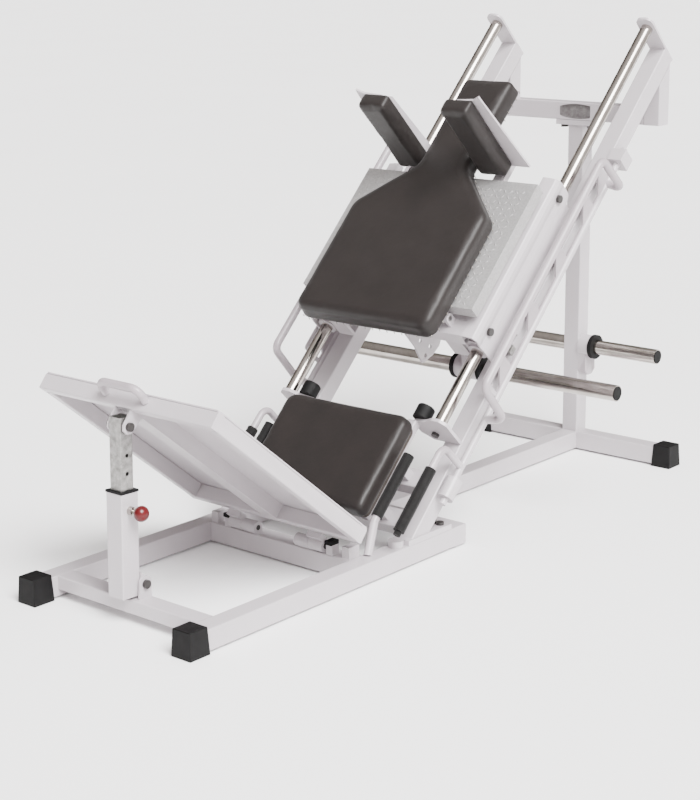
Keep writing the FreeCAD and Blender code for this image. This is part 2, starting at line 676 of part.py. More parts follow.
def press_plate():
    top = float(dim.tray_top)
    lip = float(dim.tray_lip)
    width = dim.tray_width
    outer = plank(0, dim.tray_start, top - lip, width, dim.tray_length, dim.tray_lip)
    inner = plank(0, dim.tray_start + dim.sheet, top - lip, width - dim.sheet * 2,
                  dim.tray_length - dim.sheet * 2, dim.tray_lip - dim.sheet)
    node("tread_plate", cut(outer, inner), RAILS)
    reach = dim.hinge_reach
    along = float(dim.hinge_along)
    level = float(dim.hinge_level)
    barrel = rod("x", dim.hinge_barrel_diameter, reach * 2, -reach, along, level)
    strap = box(-reach, along, level + 5, reach * 2, float(dim.tray_start) - along, 9)
    bore = dim.hinge_pin_diameter + dim.running_clearance * 2
    node("plate_hinge_barrel", cut(fuse(barrel, strap),
                                   rod("x", bore, reach * 2 + 2, -reach - 1, along, level)), RAILS)
    node("back_board", back_outline(8, dim.board_thickness, dim.tray_top), RAILS)
    pad_level = dim.tray_top + dim.board_thickness
    node("back_pad", back_outline(0, dim.back_thickness - dim.board_thickness, pad_level), RAILS)
    shoulders()


def back_outline(inset, thickness, level):
    start = float(dim.back_start) + inset
    wide = float(dim.back_half_width) - inset
    neck = float(dim.neck_half_width) - inset
    end = float(dim.back_end) - inset
    shoulder = float(dim.back_shoulder)
    narrow = float(dim.neck_start)
    right = [(wide, start), (wide, shoulder), (neck, narrow), (neck, end)]
    left = [(-x, y) for x, y in reversed(right)]
    rounds = {0: 40, 1: 60, 2: 60, 3: 22, 4: 22, 5: 60, 6: 60, 7: 40}
    return plate(right + left, thickness, "XY", level, rounds)


def shoulders():
    inner = float(dim.shoulder_inner)
    along = dim.shoulder_along
    low = float(dim.shoulder_bottom)
    high = float(dim.shoulder_top)
    pad = plate([(inner, low), (inner + float(dim.shoulder_width), low),
                 (inner + float(dim.shoulder_width), high), (inner, high)],
                dim.shoulder_thickness, "XZ", along, {0: 16, 1: 16, 2: 20, 3: 20})
    node("shoulder_pads", both(pad), RAILS)
    back = float(along + dim.shoulder_thickness)
    outer = inner + float(dim.shoulder_width)
    tray_end = float(dim.tray_start + dim.tray_length)
    tray_top = float(dim.tray_top)
    backing = plate([(inner + 30, low), (outer + 50, low), (outer + 20, high + 6), (outer - 8, high - 10),
                     (inner + 40, high - 16)], dim.bracket_sheet, "XZ", back)
    rear = back + float(dim.bracket_sheet)
    arm = plate([(rear, tray_top - 36), (rear + 50, tray_top - 36), (rear + 30, high - 60),
                 (rear, high - 24)], 40, "YZ", inner + 44)
    foot = box(inner + 44, tray_end, tray_top - 36, 40, rear + 10 - tray_end, 20)
    node("shoulder_brackets", both(fuse(backing, arm, foot)), RAILS)


def platform():
    width = dim.platform_width
    side = dim.platform_tube_width
    length = dim.platform_length
    rear = dim.platform_rear
    front = float(rear - length)
    low = dim.platform_bottom
    high = dim.platform_tube
    half = float(width) / 2
    long_tube = tube("y", half - float(side), front + float(side), low, side, length - side * 2, high)
    pieces = [long_tube, mirrored(long_tube)]
    for along in (front, float(rear - side)):
        pieces.append(closed_tube(width, along, low, side, high))
    rib = box(-dim.platform_rib / 2, front + float(side), low, dim.platform_rib, length - side * 2, high)
    pieces.append(rib)
    pieces += platform_hinge() + prop_bracket(front)
    node("platform_frame", group(*pieces), PLATFORM)
    sheet_level = low + high
    deck = plate([(-half, front), (half, front), (half, float(rear)), (-half, float(rear))],
                 dim.platform_sheet, "XY", sheet_level, {0: 6, 1: 6, 2: 6, 3: 6})
    node("platform_plate", deck, PLATFORM)
    level = float(low) + 28
    reach = front - float(dim.handle_reach)
    grip = float(dim.handle_span) / 2
    high_end = level + float(dim.handle_rise)
    handle = feature(pipe([(-grip, front, level), (-grip, reach, high_end), (grip, reach, high_end),
                           (grip, front, level)], dim.handle_bar, 28))
    frame_box = box(-half, front, low, width, side, high)
    handle = cut(handle, frame_box)
    node("platform_handle", handle, PLATFORM)


def prop_bracket(front):
    """Two ears under the front tube of the platform that carry the prop's upper bolt."""
    gap = float(dim.bracket_gap)
    pivot = PLATFORM.inverse().multVec(PROP.multVec(FreeCAD.Vector(0, 0, float(dim.upper_pivot))))
    low = float(dim.platform_bottom)
    ear = plate([(pivot.y - 18, low), (pivot.y + 28, low), (pivot.y + 18, pivot.z - 12),
                 (pivot.y + 6, pivot.z - 20), (pivot.y - 10, pivot.z - 18), (pivot.y - 18, pivot.z - 6)],
                dim.ear_thickness, "YZ", gap, None, [(pivot.y, pivot.z, dim.pivot_bolt)])
    bolt_length = 2 * gap + 2 * float(dim.ear_thickness)
    pin = rod("x", dim.pivot_bolt, bolt_length, -bolt_length / 2, pivot.y, pivot.z)
    head = bolt("x", bolt_length / 2, pivot.y, pivot.z)
    node("prop_upper_bolt", fuse(pin, head, mirrored(head)), PLATFORM)
    return [ear, mirrored(ear)]


def platform_hinge():
    y = float(dim.platform_hinge_y)
    z = float(dim.platform_hinge_z)
    inner_x = float(dim.barrel_inner_x)
    length = float(dim.barrel_length)
    top = float(dim.tube_floor + dim.tube)
    outer = dim.barrel_diameter
    radius = float(outer) / 2
    fixed = fuse(rod("x", outer, dim.barrel_length, inner_x, y, z),
                 box(inner_x, y, top, dim.barrel_length, radius, z - top + 4))
    fixed = cut(fixed, rod("x", dim.platform_pin_diameter, length + 2, inner_x - 1, y, z))
    pin = rod("x", dim.platform_pin_diameter, 2 * length + 6, inner_x - 1, y, z)
    node("platform_hinge_pins", both(pin), FLOOR)
    start = inner_x + length + float(dim.barrel_gap)
    bore = dim.platform_pin_diameter + dim.running_clearance * 2
    arm = box(start, -radius - 18, 6, dim.barrel_length, 30, float(dim.platform_bottom) - 6)
    moving = cut(fuse(rod("x", outer, dim.barrel_length, start, 0, 0), arm),
                 rod("x", bore, length + 4, start - 2, 0, 0))
    stop = box(244, y + 2, top, 26, 44, 34)
    post = box(188, y - 3, top, 24, 29, 30)
    ear = prop_ear()
    right = [fixed, stop, post, ear]
    node("frame_lugs", group(*right, *[mirrored(item) for item in right]), FLOOR)
    return [moving, mirrored(moving)]


def prop():
    size = dim.tube
    inner = dim.inner_tube
    sleeve = tube("z", -size / 2, -size / 2, 0, size, size, dim.sleeve_length)
    level = float(dim.plunger_level)
    window = rod("x", dim.plunger_diameter + 1, 10, 24, 0, level)
    pivot = PROP.inverse().multVec(FLOOR.multVec(FreeCAD.Vector(0, float(dim.lower_pivot_y),
                                                                 float(dim.lower_pivot_z))))
    tang = plate([(30, pivot.z - 14), (pivot.y + 10, pivot.z - 14), (pivot.y + 14, pivot.z + 8),
                  (30, pivot.z + 34)], dim.ear_gap - 2, "YZ", -(float(dim.ear_gap) - 2) / 2, {1: 6, 2: 6})
    bore = rod("x", dim.pivot_bolt + dim.running_clearance * 2, 90, -45, pivot.y, pivot.z)
    node("prop_sleeve", cut(fuse(cut(sleeve, window), tang), bore), PROP)
    rim = cut(plank(0, -31, dim.sleeve_length, 62, 62, 6),
              plank(0, -float(inner) / 2 - 0.5, dim.sleeve_length, inner + 1, inner + 1, 6))
    node("prop_bushing", rim, PROP)
    start = dim.inner_tube_start
    bar = tube("z", -inner / 2, -inner / 2, start, inner, inner, dim.inner_tube_end - start)
    holes = [rod("x", dim.index_hole, 60, -30, 0, float(dim.index_first) + float(dim.index_pitch) * step)
             for step in range(6)]
    slack = rod("x", dim.pivot_bolt + dim.pivot_slack, 60, -30, 0, dim.upper_pivot)
    node("prop_inner_tube", cut(bar, fuse(*holes, slack)), PROP)
    housing_end = float(dim.plunger_housing_end)
    housing = ring("x", dim.plunger_housing_diameter, dim.plunger_diameter + dim.running_clearance * 2,
                   housing_end - 30, 30, 0, level)
    node("plunger_housing", housing, PROP)
    tip = float(dim.plunger_tip)
    node("pull_pin", rod("x", dim.plunger_diameter, float(dim.knob_x) - tip, tip, 0, level), PROP)
    ball = new("Part::Ellipsoid", "knob")
    bind(ball, Radius1=dim.knob_diameter * 0.45, Radius2=dim.knob_diameter / 2, Radius3=dim.knob_diameter / 2,
         Angle1=-90)
    put(ball, dim.knob_x, 0, level, TURNS["x"])
    socket = rod("x", dim.plunger_diameter, dim.knob_x - tip, tip, 0, level)
    node("pull_knob", cut(ball, socket), PROP)


def prop_ear():
    """One of the two ears on the front cross rail that hold the prop's lower bolt."""
    half = float(dim.ear_gap) / 2
    y = float(dim.lower_pivot_y)
    z = float(dim.lower_pivot_z)
    top = float(dim.tube_floor + dim.tube)
    ear = plate([(y - 24, top), (y + 21, top), (y + 20, z + 21), (y - 18, z + 21)], dim.ear_thickness, "YZ",
                half, {2: 16, 3: 16}, [(y, z, dim.pivot_bolt)])
    return ear


def prop_lower_bolt():
    y = dim.lower_pivot_y
    z = dim.lower_pivot_z
    width = float(dim.ear_gap) + 2 * float(dim.ear_thickness)
    pin = rod("x", dim.pivot_bolt, width, -width / 2, y, z)
    head = bolt("x", width / 2, y, z)
    return fuse(pin, head, mirrored(head))


def racks():
    x = float(dim.rack_rod_x)
    radius = float(dim.rack_rod_diameter) / 2
    top = dim.rack_plate_top
    bottom = dim.rack_plate_bottom
    start = float(dim.rack_start)
    end = float(dim.rack_end)
    plate_x = x - float(dim.rack_plate_thickness) / 2
    blank = plate([(start, top), (start, bottom), (end, bottom), (end, top)], dim.rack_plate_thickness,
                  "YZ", plate_x, {0: 12, 1: 12, 2: 12, 3: 12})
    high = float(dim.rack_window_top)
    low = float(dim.rack_window_bottom)
    slant = float(dim.rack_slant)
    windows = []
    for step in range(-1, 4):
        first = float(dim.rack_first) + float(dim.rack_pitch) * step
        last = min(first + float(dim.rack_window_length), end - 18)
        first = max(first, start + 14)
        back = max(last - slant, first + 12)
        windows.append(plate([(first, low), (back, low), (last, high), (first, high)],
                             30, "YZ", plate_x - 10))
    level = dim.rack_rod_level
    pivot = rod("y", dim.rack_rod_diameter, dim.rack_rod_end - dim.rack_rod_start, x, dim.rack_rod_start,
                level)
    plate_item = cut(blank, fuse(*windows, pivot))
    bar_x = dim.rack_bar_x
    bar_level = dim.rack_bar_level
    first = float(dim.rack_bar_start)
    last = float(dim.rack_bar_end)
    handle = feature(pipe([(x, first - 24, level), (bar_x, first - 12, level), (bar_x, first, bar_level),
                           (bar_x, last, bar_level), (bar_x, last + 8, level), (x, last + 20, level)],
                          dim.rack_bar, 26))
    slab = box(plate_x, start, bottom, dim.rack_plate_thickness, end - start, 60)
    handle = cut(handle, fuse(pivot, slab))
    lever_x = dim.lever_x
    lever_along = float(dim.lever_along)
    lever = feature(pipe([(x, lever_along, level), (lever_x, lever_along, dim.lever_level),
                          (lever_x, dim.lever_end, dim.lever_level)], dim.rack_rod_diameter, 32))
    lever = cut(lever, pivot)
    grip_start = float(dim.lever_end)
    grip = ring("y", dim.grip_diameter, dim.rack_rod_diameter, dim.grip_length, lever_x, grip_start,
                dim.lever_level)
    plug = fuse(rod("y", dim.grip_diameter, 4, lever_x, grip_start - 4, dim.lever_level),
                rod("y", dim.rack_rod_diameter, 18, lever_x, grip_start - 18, dim.lever_level))
    right = {"rack_right_plate": plate_item, "rack_right_bars": group(pivot, handle, lever),
             "rack_right_grip": fuse(grip, plug)}
    for name, item in right.items():
        node(name, item, RAILS)
        node(name.replace("right", "left"), mirrored(item))


def frame_bolts():
    top = float(dim.tube_floor + dim.tube + dim.flange_thickness * 2)
    heads = []
    for y in (905, 1058):
        if y > 1000:
            for x in (281, 309):
                head = bolt("z", x, y, top)
                heads += [head, mirrored(head)]
    level = float(dim.top_bar_bottom - dim.flange_thickness * 2) - float(dim.bolt_head_height)
    for x in (-52, 52):
        for y in (2212, 2246):
            heads.append(bolt("z", x, y, level))
    washer = rod("y", dim.bolt_head, dim.bolt_head_height, 255,
                 -float(dim.foot_plate_thickness + dim.bolt_head_height), -55)
    washer.Placement = FLOOR.inverse().multiply(RAILS).multiply(washer.Placement)
    heads += [washer, mirrored(washer), prop_lower_bolt()]
    node("frame_bolts", group(*heads), FLOOR)


def check_and_write():
    doc.recompute()
    for item in doc.Objects:
        bad = [word for word in item.State if word in ("Invalid", "Error")]
        if bad:
            raise RuntimeError("%s (%s) failed: %s" % (item.Name, item.Label, bad))
    os.makedirs("parts", exist_ok=True)
    for old in os.listdir("parts"):
        os.remove(os.path.join("parts", old))
    for item in nodes:
        shape = item.Shape
        if shape.isNull() or not shape.isValid():
            raise RuntimeError("%s has no valid shape" % item.Label)
        shape.exportStep("parts/%s.step" % item.Label)
    print("wrote", len(nodes), "nodes")


floor_frame()
rear_tower()
rails()
seat()
side_handles()
storage()
rack_bearings()
sled()
press_plate()
platform()
prop()
racks()
frame_bolts()
check_and_write()
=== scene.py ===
import json
import math

import bmesh
import bpy
from mathutils import Matrix, Vector, noise

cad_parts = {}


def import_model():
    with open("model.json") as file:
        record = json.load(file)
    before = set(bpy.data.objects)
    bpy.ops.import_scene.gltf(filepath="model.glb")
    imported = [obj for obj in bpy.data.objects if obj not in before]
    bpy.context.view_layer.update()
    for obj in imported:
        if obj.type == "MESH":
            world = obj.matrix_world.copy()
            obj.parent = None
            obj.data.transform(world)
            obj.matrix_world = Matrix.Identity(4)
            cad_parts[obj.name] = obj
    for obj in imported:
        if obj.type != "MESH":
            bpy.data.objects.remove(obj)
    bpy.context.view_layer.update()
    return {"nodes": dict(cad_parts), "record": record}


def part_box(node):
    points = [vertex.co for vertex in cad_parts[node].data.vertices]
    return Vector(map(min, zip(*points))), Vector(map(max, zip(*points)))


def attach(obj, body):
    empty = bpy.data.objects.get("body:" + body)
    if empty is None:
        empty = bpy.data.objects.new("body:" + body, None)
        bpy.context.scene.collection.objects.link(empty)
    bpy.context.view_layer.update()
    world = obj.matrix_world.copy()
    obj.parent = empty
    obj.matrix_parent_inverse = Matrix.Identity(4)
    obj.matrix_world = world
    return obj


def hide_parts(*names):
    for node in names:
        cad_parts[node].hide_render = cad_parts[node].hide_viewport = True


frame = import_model()
NODES = frame["nodes"]
MM = 0.001
SLOPE = math.radians(45)
ROD_RADIUS = 19.5 * MM

# The camera's place and angles, its lens on a 36 mm sensor, and how far it sees.
CAMERA_PLACE = (3.3699, -4.0527, 1.7745)
CAMERA_YAW = math.radians(40.631)
CAMERA_PITCH = math.radians(-14.676)
CAMERA_ROLL = math.radians(-0.604)
LENS = 80.6
SENSOR = 36
VIEW_END = 1000

# The directions that light comes from, the key light's strength and spread, and the strip light's place,
# target, size and watts.
KEY_DIRECTION = (0.62, -0.20, 0.76)
KEY_POWER = 9.0
KEY_SPREAD = math.radians(35)
SKY_DIRECTION = (0.74, -0.22, 0.63)
STRIP_PLACE = (3.6, -2.4, 3.6)
STRIP_TARGET = (0, 0, 0.7)
STRIP_SIZE = (0.6, 3.2)
STRIP_POWER = 160

FLOOR_SIZE = 300
FLOOR_LEVEL = -0.0005


# ---------------------------------------------------------------- the inclined frame of the rails

def rail_frame():
    """The frame of the guide rods: X to the right, Y up the slope and Z out of it, at the rods' lower end."""
    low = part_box("guide_rods")[0]
    along = Vector((0, math.cos(SLOPE), math.sin(SLOPE)))
    out = Vector((0, -math.sin(SLOPE), math.cos(SLOPE)))
    shift = ROD_RADIUS * math.sin(SLOPE)
    turn = Matrix((Vector((1, 0, 0)), along, out)).transposed().to_4x4()
    return Matrix.Translation(Vector((0, low.y + shift, low.z + shift))) @ turn


RAILS = rail_frame()


def in_rails(node):
    """Lowest and highest corners of a CAD node in the inclined frame."""
    back = RAILS.inverted()
    points = [back @ vertex.co for vertex in NODES[node].data.vertices]
    low = Vector([min(point[k] for point in points) for k in range(3)])
    high = Vector([max(point[k] for point in points) for k in range(3)])
    return low, high


# ---------------------------------------------------------------- materials

class Shade:
    """A node tree with the few helpers that the materials below share."""

    def __init__(self, name, **settings):
        self.material = bpy.data.materials.new(name)
        self.material.use_nodes = True
        self.tree = self.material.node_tree
        self.shader = self.tree.nodes["Principled BSDF"]
        self.place = self.add("ShaderNodeTexCoord").outputs["Object"]
        for key, value in settings.items():
            self.shader.inputs[key.replace("_", " ")].default_value = value

    def add(self, kind, **inputs):
        """A new node with its inputs set."""
        item = self.tree.nodes.new(kind)
        for key, value in inputs.items():
            item.inputs[key].default_value = value
        return item

    def link(self, out, into):
        self.tree.links.new(out, into)

    def noise(self, scale, detail=4, rough=0.6, stretch=None):
        item = self.add("ShaderNodeTexNoise", Scale=scale, Detail=detail, Roughness=rough)
        self.link(self.stretched(stretch), item.inputs["Vector"])
        return item.outputs["Fac"]

    def cells(self, scale, feature="F1", stretch=None):
        item = self.add("ShaderNodeTexVoronoi", Scale=scale)
        item.feature = feature
        self.link(self.stretched(stretch), item.inputs["Vector"])
        return item.outputs["Distance"]

    def stretched(self, stretch):
        """Object coordinates, scaled along each axis for drawn or brushed surfaces."""
        if stretch is None:
            return self.place
        item = self.add("ShaderNodeMapping")
        item.inputs["Scale"].default_value = stretch
        self.link(self.place, item.inputs["Vector"])
        return item.outputs["Vector"]

    def ramp(self, source, *stops):
        """A colour ramp. Each stop is (place, colour)."""
        item = self.add("ShaderNodeValToRGB")
        self.link(source, item.inputs["Fac"])
        elements = item.color_ramp.elements
        while len(elements) < len(stops):
            elements.new(0.5)
        for element, (place, color) in zip(elements, stops):
            element.position = place
            element.color = (*color, 1) if len(color) == 3 else color
        return item.outputs["Color"]

    def span(self, source, low, high):
        """A value between 0 and 1, mapped to low and high."""
        item = self.add("ShaderNodeMapRange")
        item.inputs["To Min"].default_value = low
        item.inputs["To Max"].default_value = high
        self.link(source, item.inputs["Value"])
        return item.outputs["Result"]

    def mix(self, source, one, two):
        """Two colours or sockets, mixed by the source."""
        item = self.add("ShaderNodeMix")
        item.data_type = "RGBA"
        self.link(source, item.inputs["Factor"])
        for value, socket in ((one, item.inputs["A"]), (two, item.inputs["B"])):
            if isinstance(value, tuple):
                socket.default_value = (*value, 1)
            else:
                self.link(value, socket)
        return item.outputs["Result"]

    def color(self, out):
        self.link(out, self.shader.inputs["Base Color"])

    def roughness(self, out):
        self.link(out, self.shader.inputs["Roughness"])

    def bump(self, *layers):
        """Raise the surface. Each layer is (height, strength, distance in metres)."""
        below = None
        for height, strength, distance in layers:
            item = self.add("ShaderNodeBump", Strength=strength, Distance=distance)
            self.link(height, item.inputs["Height"])
            if below is not None:
                self.link(below, item.inputs["Normal"])
            below = item.outputs["Normal"]
        self.link(below, self.shader.inputs["Normal"])


def grey(value):
    return (value, value, value)


def white_paint():
    """Powder coat: a fine orange peel, faint clouding, a painted highlight that lightens the sharp edges, and a
    few scuffs.
    """
    shade = Shade("white_paint", Coat_Weight=0.25, Coat_Roughness=0.12)
    cloud = shade.ramp(shade.noise(7, 5), (0.3, (0.315, 0.275, 0.295)), (0.7, (0.355, 0.315, 0.337)))
    scuff = shade.ramp(shade.noise(38, 8, 0.7), (0.66, grey(0)), (0.74, grey(1)))
    # Painted highlight: the sharp edges, found by pointiness, are mixed towards a lighter colour.
    geometry = shade.add("ShaderNodeNewGeometry")
    edge = shade.ramp(geometry.outputs["Pointiness"], (0.53, grey(0)), (0.6, grey(0.5)))
    cloud_with_painted_highlight = shade.mix(edge, cloud, (0.56, 0.53, 0.55))
    shade.color(shade.mix(shade.span(scuff, 0, 0.14), cloud_with_painted_highlight, (0.22, 0.18, 0.17)))
    shade.roughness(shade.span(shade.noise(25, 4), 0.30, 0.44))
    shade.bump((shade.noise(900, 2), 0.10, 0.0004), (shade.noise(140, 2), 0.05, 0.001))
    return shade.material


def rubber():
    """Moulded rubber: a matt dark skin with fine pits and a dusty bloom."""
    shade = Shade("rubber", Specular_IOR_Level=0.18)
    shade.color(shade.ramp(shade.noise(30, 6), (0.35, (0.0016, 0.0015, 0.0016)),
                           (0.75, (0.0055, 0.0052, 0.0055))))
    shade.roughness(shade.span(shade.noise(60, 5), 0.5, 0.78))
    shade.bump((shade.noise(700, 3), 0.25, 0.0006), (shade.noise(60, 3), 0.10, 0.002))
    return shade.material


def foam():
    """Foam grip: soft black with open cells and shallow dents."""
    shade = Shade("foam", Specular_IOR_Level=0.18, Sheen_Weight=0.08, Sheen_Roughness=0.5)
    shade.color(shade.ramp(shade.noise(45, 6), (0.3, (0.0016, 0.0014, 0.0014)),
                           (0.75, (0.0055, 0.0048, 0.0048))))
    shade.roughness(shade.span(shade.noise(80, 4), 0.62, 0.85))
    shade.bump((shade.cells(1100), 0.35, 0.0006), (shade.noise(45, 3), 0.15, 0.002))
    return shade.material


def chrome():
    """Ground and plated steel: bright, with a very fine grain and small smears."""
    shade = Shade("chrome", Metallic=1.0)
    shade.color(shade.ramp(shade.noise(16, 5), (0.3, (0.34, 0.31, 0.28)), (0.7, (0.48, 0.45, 0.42))))
    shade.roughness(shade.span(shade.noise(22, 6, 0.7), 0.10, 0.24))
    shade.bump((shade.noise(1500, 2), 0.04, 0.0002))
    return shade.material


def black_steel():
    """Blackened bolts: dark and slightly oily, with a painted highlight that makes their edges a little
    lighter.
    """
    shade = Shade("black_steel", Metallic=0.2)
    # Painted highlight: the sharp edges, found by pointiness, are mixed towards a lighter grey.
    geometry = shade.add("ShaderNodeNewGeometry")
    edge = shade.ramp(geometry.outputs["Pointiness"], (0.52, grey(0)), (0.62, grey(1)))
    base = shade.ramp(shade.noise(120, 5), (0.3, (0.0020, 0.0018, 0.0018)), (0.7, (0.0070, 0.0062, 0.0060)))
    shade.color(shade.mix(edge, base, (0.030, 0.027, 0.026)))
    shade.roughness(shade.span(shade.noise(200, 4), 0.28, 0.5))
    shade.bump((shade.noise(900, 3), 0.12, 0.0004))
    return shade.material


def raw_steel():
    """Machined steel: grey, brushed, with darker oil stains."""
    shade = Shade("raw_steel", Metallic=0.9)
    shade.color(shade.ramp(shade.noise(60, 6), (0.3, (0.16, 0.155, 0.15)), (0.7, (0.38, 0.37, 0.36))))
    shade.roughness(shade.span(shade.noise(300, 3, stretch=(1, 12, 12)), 0.25, 0.5))
    shade.bump((shade.noise(600, 3, stretch=(1, 14, 14)), 0.15, 0.0004))
    return shade.material


def tread():
    """Rolled aluminium tread: spangled silver with bright rubbed spots and grey oxide between them."""
    shade = Shade("tread", Metallic=0.55)
    spangle = shade.cells(150)
    dull = shade.ramp(spangle, (0.1, (0.30, 0.295, 0.29)), (0.75, (0.42, 0.41, 0.41)))
    shade.color(shade.mix(shade.span(shade.noise(18, 6), 0, 0.6), dull, (0.50, 0.49, 0.49)))
    shade.roughness(shade.span(shade.noise(90, 5), 0.34, 0.55))
    shade.bump((shade.noise(420, 4), 0.25, 0.0008))
    return shade.material


def vinyl():
    """Upholstery vinyl: warm black, pebbled grain, soft creases and a slight shine where it is rubbed."""
    shade = Shade("vinyl", Specular_IOR_Level=0.30, Sheen_Weight=0.06)
    tone = shade.ramp(shade.noise(9, 5), (0.3, (0.0062, 0.0044, 0.0040)), (0.75, (0.0110, 0.0080, 0.0073)))
    shade.color(shade.mix(shade.span(shade.cells(520), 0, 0.35), tone, (0.015, 0.0115, 0.0108)))
    shade.roughness(shade.span(shade.noise(14, 6), 0.38, 0.56))
    grain = shade.cells(620, "SMOOTH_F1")
    shade.bump((grain, 0.30, 0.0005), (shade.noise(42, 4, stretch=(1, 1, 1.6)), 0.12, 0.003))
    return shade.material


def board():
    """Black-stained plywood: grain lines drawn along one way and darker pores."""
    shade = Shade("board")
    shade.color(shade.ramp(shade.noise(30, 7, stretch=(1, 9, 9)), (0.3, (0.022, 0.017, 0.014)),
                           (0.75, (0.060, 0.046, 0.038))))
    shade.roughness(shade.span(shade.noise(60, 4), 0.6, 0.85))
    shade.bump((shade.noise(150, 5, stretch=(1, 9, 9)), 0.3, 0.0008))
    return shade.material


def badge():
    """Blank plate: satin silver with a fine brushed grain."""
    shade = Shade("badge", Metallic=0.85)
    shade.color(shade.ramp(shade.noise(90, 5), (0.3, (0.13, 0.12, 0.12)), (0.7, (0.22, 0.21, 0.21))))
    shade.roughness(shade.span(shade.noise(700, 3, stretch=(1, 1, 16)), 0.22, 0.42))
    shade.bump((shade.noise(900, 3, stretch=(1, 1, 16)), 0.1, 0.0003))
    return shade.material


def red_plastic():
    """Turned red knob: glossy, with fine marks."""
    shade = Shade("red_plastic", Specular_IOR_Level=0.25, Coat_Weight=0.25, Coat_Roughness=0.08)
    shade.color(shade.ramp(shade.noise(60, 5), (0.3, (0.055, 0.0010, 0.002)), (0.7, (0.09, 0.002, 0.0035))))
    shade.roughness(shade.span(shade.noise(150, 5), 0.22, 0.40))
    shade.bump((shade.noise(600, 3), 0.06, 0.0004))
    return shade.material


MATERIALS = {make.__name__: make() for make in (white_paint, rubber, foam, chrome, black_steel, raw_steel,
                                                tread, vinyl, board, badge, red_plastic)}


def dress_cad_nodes():
    """Give every CAD node the material of its slot."""
    for part in frame["record"]["subparts"]:
        data = NODES[part["node"]].data
        data.materials.clear()
        data.materials.append(MATERIALS[part["material_slot"]])


# ---------------------------------------------------------------- mesh helpers

CUSHION_PRESSURE = 4.0
CUSHION_FRAMES = 20
SMOOTHING_PASSES = 2


def new_object(name, mesh, material, body):
    """An object with one material, riding on a body."""
    item = bpy.data.objects.new(name, mesh)
    bpy.context.scene.collection.objects.link(item)
    mesh.materials.clear()
    mesh.materials.append(MATERIALS[material])
    for face in mesh.polygons:
        face.use_smooth = True
    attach(item, body)
    return item


def mesh_from(bm, name):
    """The mesh of a bmesh, with its normals turned outwards."""
    bmesh.ops.recalc_face_normals(bm, faces=bm.faces)
    mesh = bpy.data.meshes.new(name)
    bm.to_mesh(mesh)
    bm.free()
    return mesh


def rounded(outline, radii, steps=8):
    """The outline with an arc at each corner."""
    points = []
    count = len(outline)
    for number, corner in enumerate(outline):
        corner = Vector(corner)
        before = (Vector(outline[number - 1]) - corner).normalized()
        after = (Vector(outline[(number + 1) % count]) - corner).normalized()
        radius = radii[number]
        half = before.angle(after) / 2
        reach = radius / math.tan(half)
        centre = corner + (before + after).normalized() * (radius / math.sin(half))
        start = corner + before * reach - centre
        turn = (corner + after * reach - centre).angle_signed(start)
        for step in range(steps + 1):
            spin = Matrix.Rotation(turn * step / steps, 2)
            points.append(centre + spin @ start)
    return points


def inset_outline(points, distance):
    """The closed outline moved inwards by a distance. The points run counter-clockwise."""
    result = []
    count = len(points)
    for number, point in enumerate(points):
        before = (point - points[number - 1])
        after = (points[(number + 1) % count] - point)
        if before.length < 1e-7:
            before = after
        if after.length < 1e-7:
            after = before
        one = Vector((-before.y, before.x)).normalized()
        two = Vector((-after.y, after.x)).normalized()
        middle = (one + two).normalized()
        result.append(point + middle * (distance / max(0.4, middle.dot(one))))
    return result


def stacked(outline, levels, frame_matrix):
    """A closed solid from rings (inset, height), lowest first."""
    bm = bmesh.new()
    rings = []
    for inset, height in levels:
        ring = inset_outline(outline, inset)
        rings.append([bm.verts.new(frame_matrix @ Vector((point.x, point.y, height))) for point in ring])
    count = len(outline)
    for low, high in zip(rings, rings[1:]):
        for number in range(count):
            after = (number + 1) % count
            bm.faces.new((low[number], low[after], high[after], high[number]))
    bm.faces.new(rings[-1])
    bm.faces.new(list(reversed(rings[0])))
    bmesh.ops.triangulate(bm, faces=[face for face in bm.faces if len(face.verts) > 4])
    return bm


def inflate(item, voxel, cap, hold):
    """Puff a closed cushion with a short cloth simulation, then keep every point within cap of its start.
    The hold function says how far each point may follow, from 0 to 1."""
    remesh = item.modifiers.new("remesh", "REMESH")
    remesh.mode = "VOXEL"
    remesh.voxel_size = voxel
    apply_modifiers(item)
    start = [vertex.co.copy() for vertex in item.data.vertices]
    cloth = item.modifiers.new("cloth", "CLOTH")
    settings = cloth.settings
    settings.quality = 5
    settings.mass = 0.3
    settings.use_pressure = True
    settings.uniform_pressure_force = CUSHION_PRESSURE
    settings.tension_stiffness = 18
    settings.compression_stiffness = 18
    settings.shear_stiffness = 8
    settings.bending_stiffness = 1.2
    settings.effector_weights.gravity = 0
    cloth.collision_settings.use_collision = False
    scene = bpy.context.scene
    for number in range(1, CUSHION_FRAMES + 1):
        scene.frame_set(number)
    apply_modifiers(item)
    scene.frame_set(1)
    for vertex, old in zip(item.data.vertices, start):
        move = vertex.co - old
        if move.length > cap:
            move.length = cap
        vertex.co = old + move * hold(old)
    bm = bmesh.new()
    bm.from_mesh(item.data)
    for _ in range(SMOOTHING_PASSES):
        bmesh.ops.smooth_vert(bm, verts=bm.verts, factor=0.5, use_axis_x=True, use_axis_y=True,
                              use_axis_z=True)
    bm.to_mesh(item.data)
    bm.free()
    for face in item.data.polygons:
        face.use_smooth = True


def apply_modifiers(item):
    """Replace the object's mesh with the one that its modifiers make."""
    bpy.context.view_layer.update()
    graph = bpy.context.evaluated_depsgraph_get()
    mesh = bpy.data.meshes.new_from_object(item.evaluated_get(graph))
    old = item.data
    materials = list(old.materials)
    item.modifiers.clear()
    item.data = mesh
    mesh.materials.clear()
    for material in materials:
        mesh.materials.append(material)
    bpy.data.meshes.remove(old)


# ---------------------------------------------------------------- cushions

# The rings of a cushion's crowned face: how far in from the edge, and the share of the crown reached there.
CROWN_RINGS = ((0.035, 0.35), (0.055, 0.6), (0.075, 0.78))


